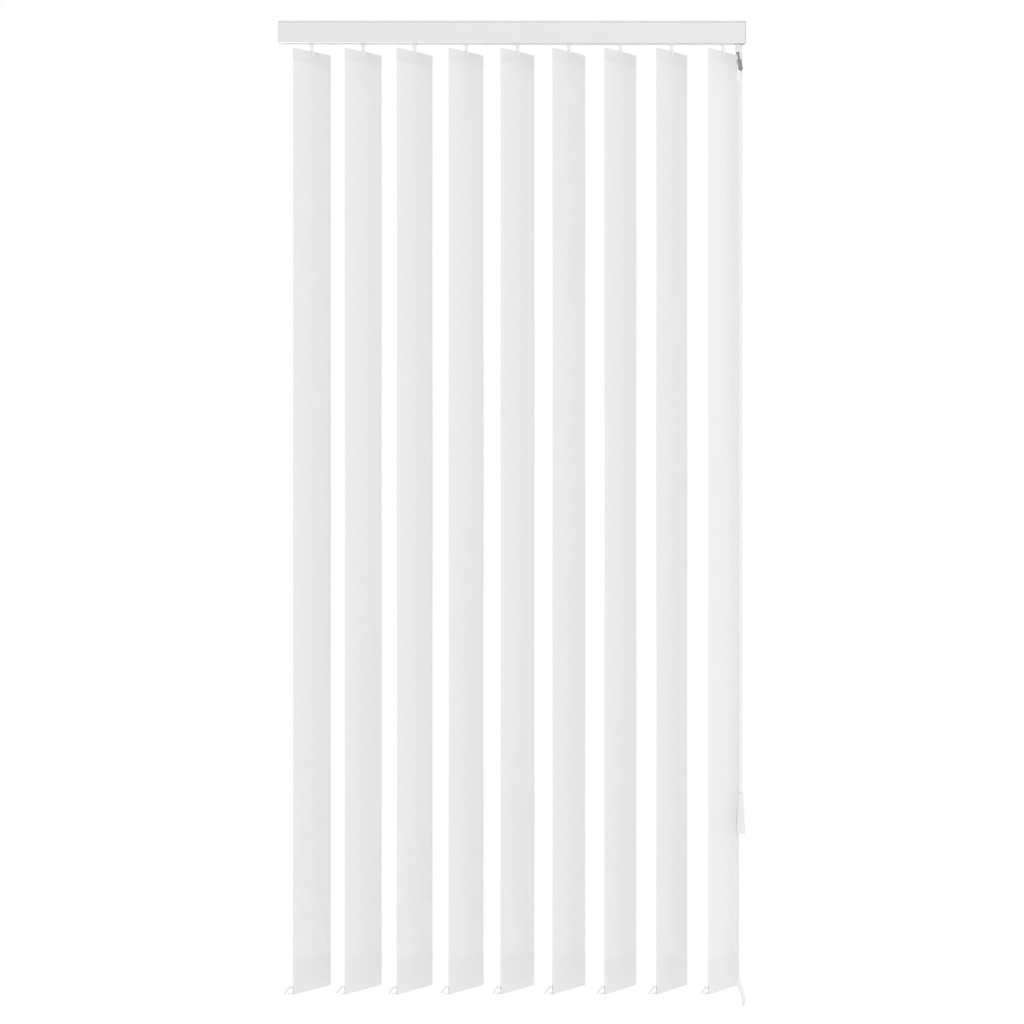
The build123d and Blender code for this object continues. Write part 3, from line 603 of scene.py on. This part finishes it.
# the hanging strip's slow bow and twist, which fade towards both pockets
sway = {
    "lowFade": (0.08, 0.5), "highFade": (0.05, 0.4), "bow": 0.0006, "level": 0.4,
    "twist": 0.0004, "turns": 2.2, "span": 1.1, "seed": 11,
}
stitch = {
    "pitch": 0.003, "steps": 8, "sides": 5, "radius": 0.00017, "thin": 0.25,
    "rise": 0.00016, "sunk": 0.6, "inset": 0.0035, "drop": 0.0022,
}


def flank(height, start, end, half):
    # half the pocket's thickness: the seam's own below start, the plate's above end, an S-curve between
    return strip["skin"] + (half - strip["skin"]) * smoothStep(start, end, height)


def bottomFlank(height):
    pocket = strip["bottomPocket"]
    return flank(-height, strip["seam"] - pocket, strip["bottomTaper"] - pocket, strip["bottomHalf"])


def topFlank(height):
    start = strip["length"] - strip["topPocket"]
    return flank(height, start + strip["seam"], start + strip["topTaper"], strip["topHalf"])


def hang(number, across, out, height):
    # turns points of a strip to the louvres' angle and hangs them under their own stem
    x0 = strip["lastStem"] - strip["pitch"] * (louvreCount - number)
    turn = radians(strip["angle"])
    x = x0 + across * cos(turn) + out * sin(turn)
    y = across * sin(turn) - out * cos(turn)
    return np.stack([x, y, strip["top"] - strip["length"] + height], -1)


def pressed(across, out, height):
    # brings the two layers of a pocket together at its side edges; at the near edge they lie over
    # the two prongs of the chain hook
    skin = strip["skin"]
    free = smoothStep(0, strip["margin"], strip["width"] / 2 - np.abs(across))
    for centre, reach in strip["prongs"]:
        away = np.abs(height - centre) + np.where(across < 0, 0, 1)
        free = np.maximum(free, 1 - smoothStep(reach, reach + strip["drape"], away))
    size = np.abs(out)
    return np.sign(out) * np.where(size > skin, skin + (size - skin) * free, size)


def clothRun():
    # the strip's line seen from its edge: down the back of the bottom pocket, round its fold, up the
    # front and over into the back of the top pocket; each point is out, height and metres along the cut
    length, seam = strip["length"], strip["seam"]
    top, bottom = strip["topHalf"], strip["bottomHalf"]
    low, high = strip["bottomPocket"], strip["topPocket"]
    fold = np.linspace(0, pi, rows["fold"])
    backLow = np.r_[
        np.linspace(low, rows["plateEnd"], rows["plate"]),
        np.linspace(rows["hookStart"], bottom + rows["lowGap"], rows["hook"]),
    ]
    foldLow = np.c_[-bottom * np.cos(fold), bottom - bottom * np.sin(fold)]
    frontLow = backLow[::-1]
    body = np.linspace(low + seam, length - high - seam, rows["body"])
    frontHigh = np.linspace(length - high, length - top - rows["highGap"], rows["top"])
    foldHigh = np.c_[top * np.cos(fold), length - top + top * np.sin(fold)]
    points = np.r_[
        np.c_[-bottomFlank(backLow), backLow], foldLow, np.c_[bottomFlank(frontLow), frontLow],
        np.c_[body * 0, body],
        np.c_[topFlank(frontHigh), frontHigh], foldHigh, np.c_[-topFlank(frontHigh), frontHigh][::-1],
    ]
    along = np.r_[0, np.cumsum(np.linalg.norm(np.diff(points, axis=0), axis=1))]
    return np.c_[points, along]


def stitchPiece(number):
    # two rows on each seam, one on each face: a thread along the strip whose distance from the cloth is
    # the rise times the root of a rectified sine, so that it dives into a needle hole after every stitch
    edge = strip["width"] / 2 - stitch["inset"]
    sides, thin = stitch["sides"], stitch["thin"]
    count = int(2 * edge / stitch["pitch"]) * stitch["steps"] + 1
    across = np.linspace(-edge, edge, count)
    arch = np.sqrt(np.abs(np.sin(pi * (across + edge) / stitch["pitch"])))
    radius = (stitch["radius"] * (thin + (1 - thin) * arch))[:, None]
    turn = np.linspace(0, 2 * pi, sides, endpoint=False)
    run = np.stack(np.broadcast_arrays(across[:, None], turn[None] / (2 * pi)), -1).reshape(-1, 2)
    total = count * sides
    tube = [
        gridFaces(count, sides, closed=True), np.arange(sides)[None],
        np.arange(total - sides, total)[None, ::-1],
    ]
    lowRow = strip["bottomPocket"] - stitch["drop"]
    highRow = strip["length"] - strip["topPocket"] + stitch["drop"]
    points, faces = [], []
    for height, half in ((lowRow, bottomFlank(lowRow)), (highRow, topFlank(highRow))):
        for side in (-1, 1):
            middle = side * (half + strip["thickness"] / 2 + stitch["rise"] * (arch - stitch["sunk"]))
            out = middle[:, None] + radius * np.cos(turn)
            high = height + radius * np.sin(turn)
            faces += [group + total * len(points) for group in tube]
            points.append(hang(number, across[:, None] + 0 * out, out, high).reshape(-1, 3))
    runs = np.concatenate([run] * len(points))
    made = toMesh(f"stitches_{number}", np.concatenate(points), faces, sewingThread, runs)
    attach(made, f"hung_louvre_{number}")
    return made


def clothPiece(number, run, random):
    # one grid, across the width and along the run, with the slit for the stem left out; the sway is
    # added to the out direction: a parabola across the width, and a twist that is a sine of the height
    half = strip["width"] / 2
    slit = strip["slitWidth"] / 2
    side = np.r_[
        half - np.array(strip["edgeColumns"]),
        np.linspace(half - strip["inner"], slit, strip["innerColumns"]),
    ]
    columns = np.r_[-side, side[::-1]]
    across, place = np.meshgrid(columns, np.arange(len(run)), indexing="xy")
    out, height, along = run[place][..., 0], run[place][..., 1], run[place][..., 2]
    out = pressed(across, out, height)
    free = smoothStep(*sway["lowFade"], height) * smoothStep(*sway["highFade"], strip["length"] - height)
    share = across / half
    phase = random.uniform(0, 2 * pi, 2)[0]
    out = out + free * sway["bow"] * (share**2 - sway["level"])
    wave = np.sin(sway["turns"] * pi * height / sway["span"] + phase)
    out = out + free * sway["twist"] * wave * share
    points = hang(number, across, out, height)
    faces = gridFaces(len(run), len(columns))
    inMiddle = faces[:, 0] % len(columns) == len(side) - 1
    level = points.reshape(-1, 3)[faces].mean(1)[:, 2]
    inSlit = inMiddle & (level > strip["top"] - strip["slitHeight"])
    cut = np.stack([across + half, along], -1)
    made = toMesh(f"cloth_{number}", points, [faces[~inSlit]], louvreCloth, cut)
    solid = made.modifiers.new("cloth", "SOLIDIFY")
    solid.thickness = strip["thickness"]
    solid.offset = 0
    shell = bpy.data.meshes.new_from_object(made.evaluated_get(bpy.context.evaluated_depsgraph_get()))
    shell.set_sharp_from_angle(angle=radians(strip["sharp"]))  # the cut edges stay crisp
    made.modifiers.clear()
    made.data = shell
    sewn = stitchPiece(number)
    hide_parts(f"louvre_{number}")
    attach(made, f"hung_louvre_{number}")


run = clothRun()
random = np.random.default_rng(sway["seed"])
for number in louvreNumbers:
    clothPiece(number, run, random)
print("louvres hung, each cut", round(float(run[-1, 2]), 3), "m long")
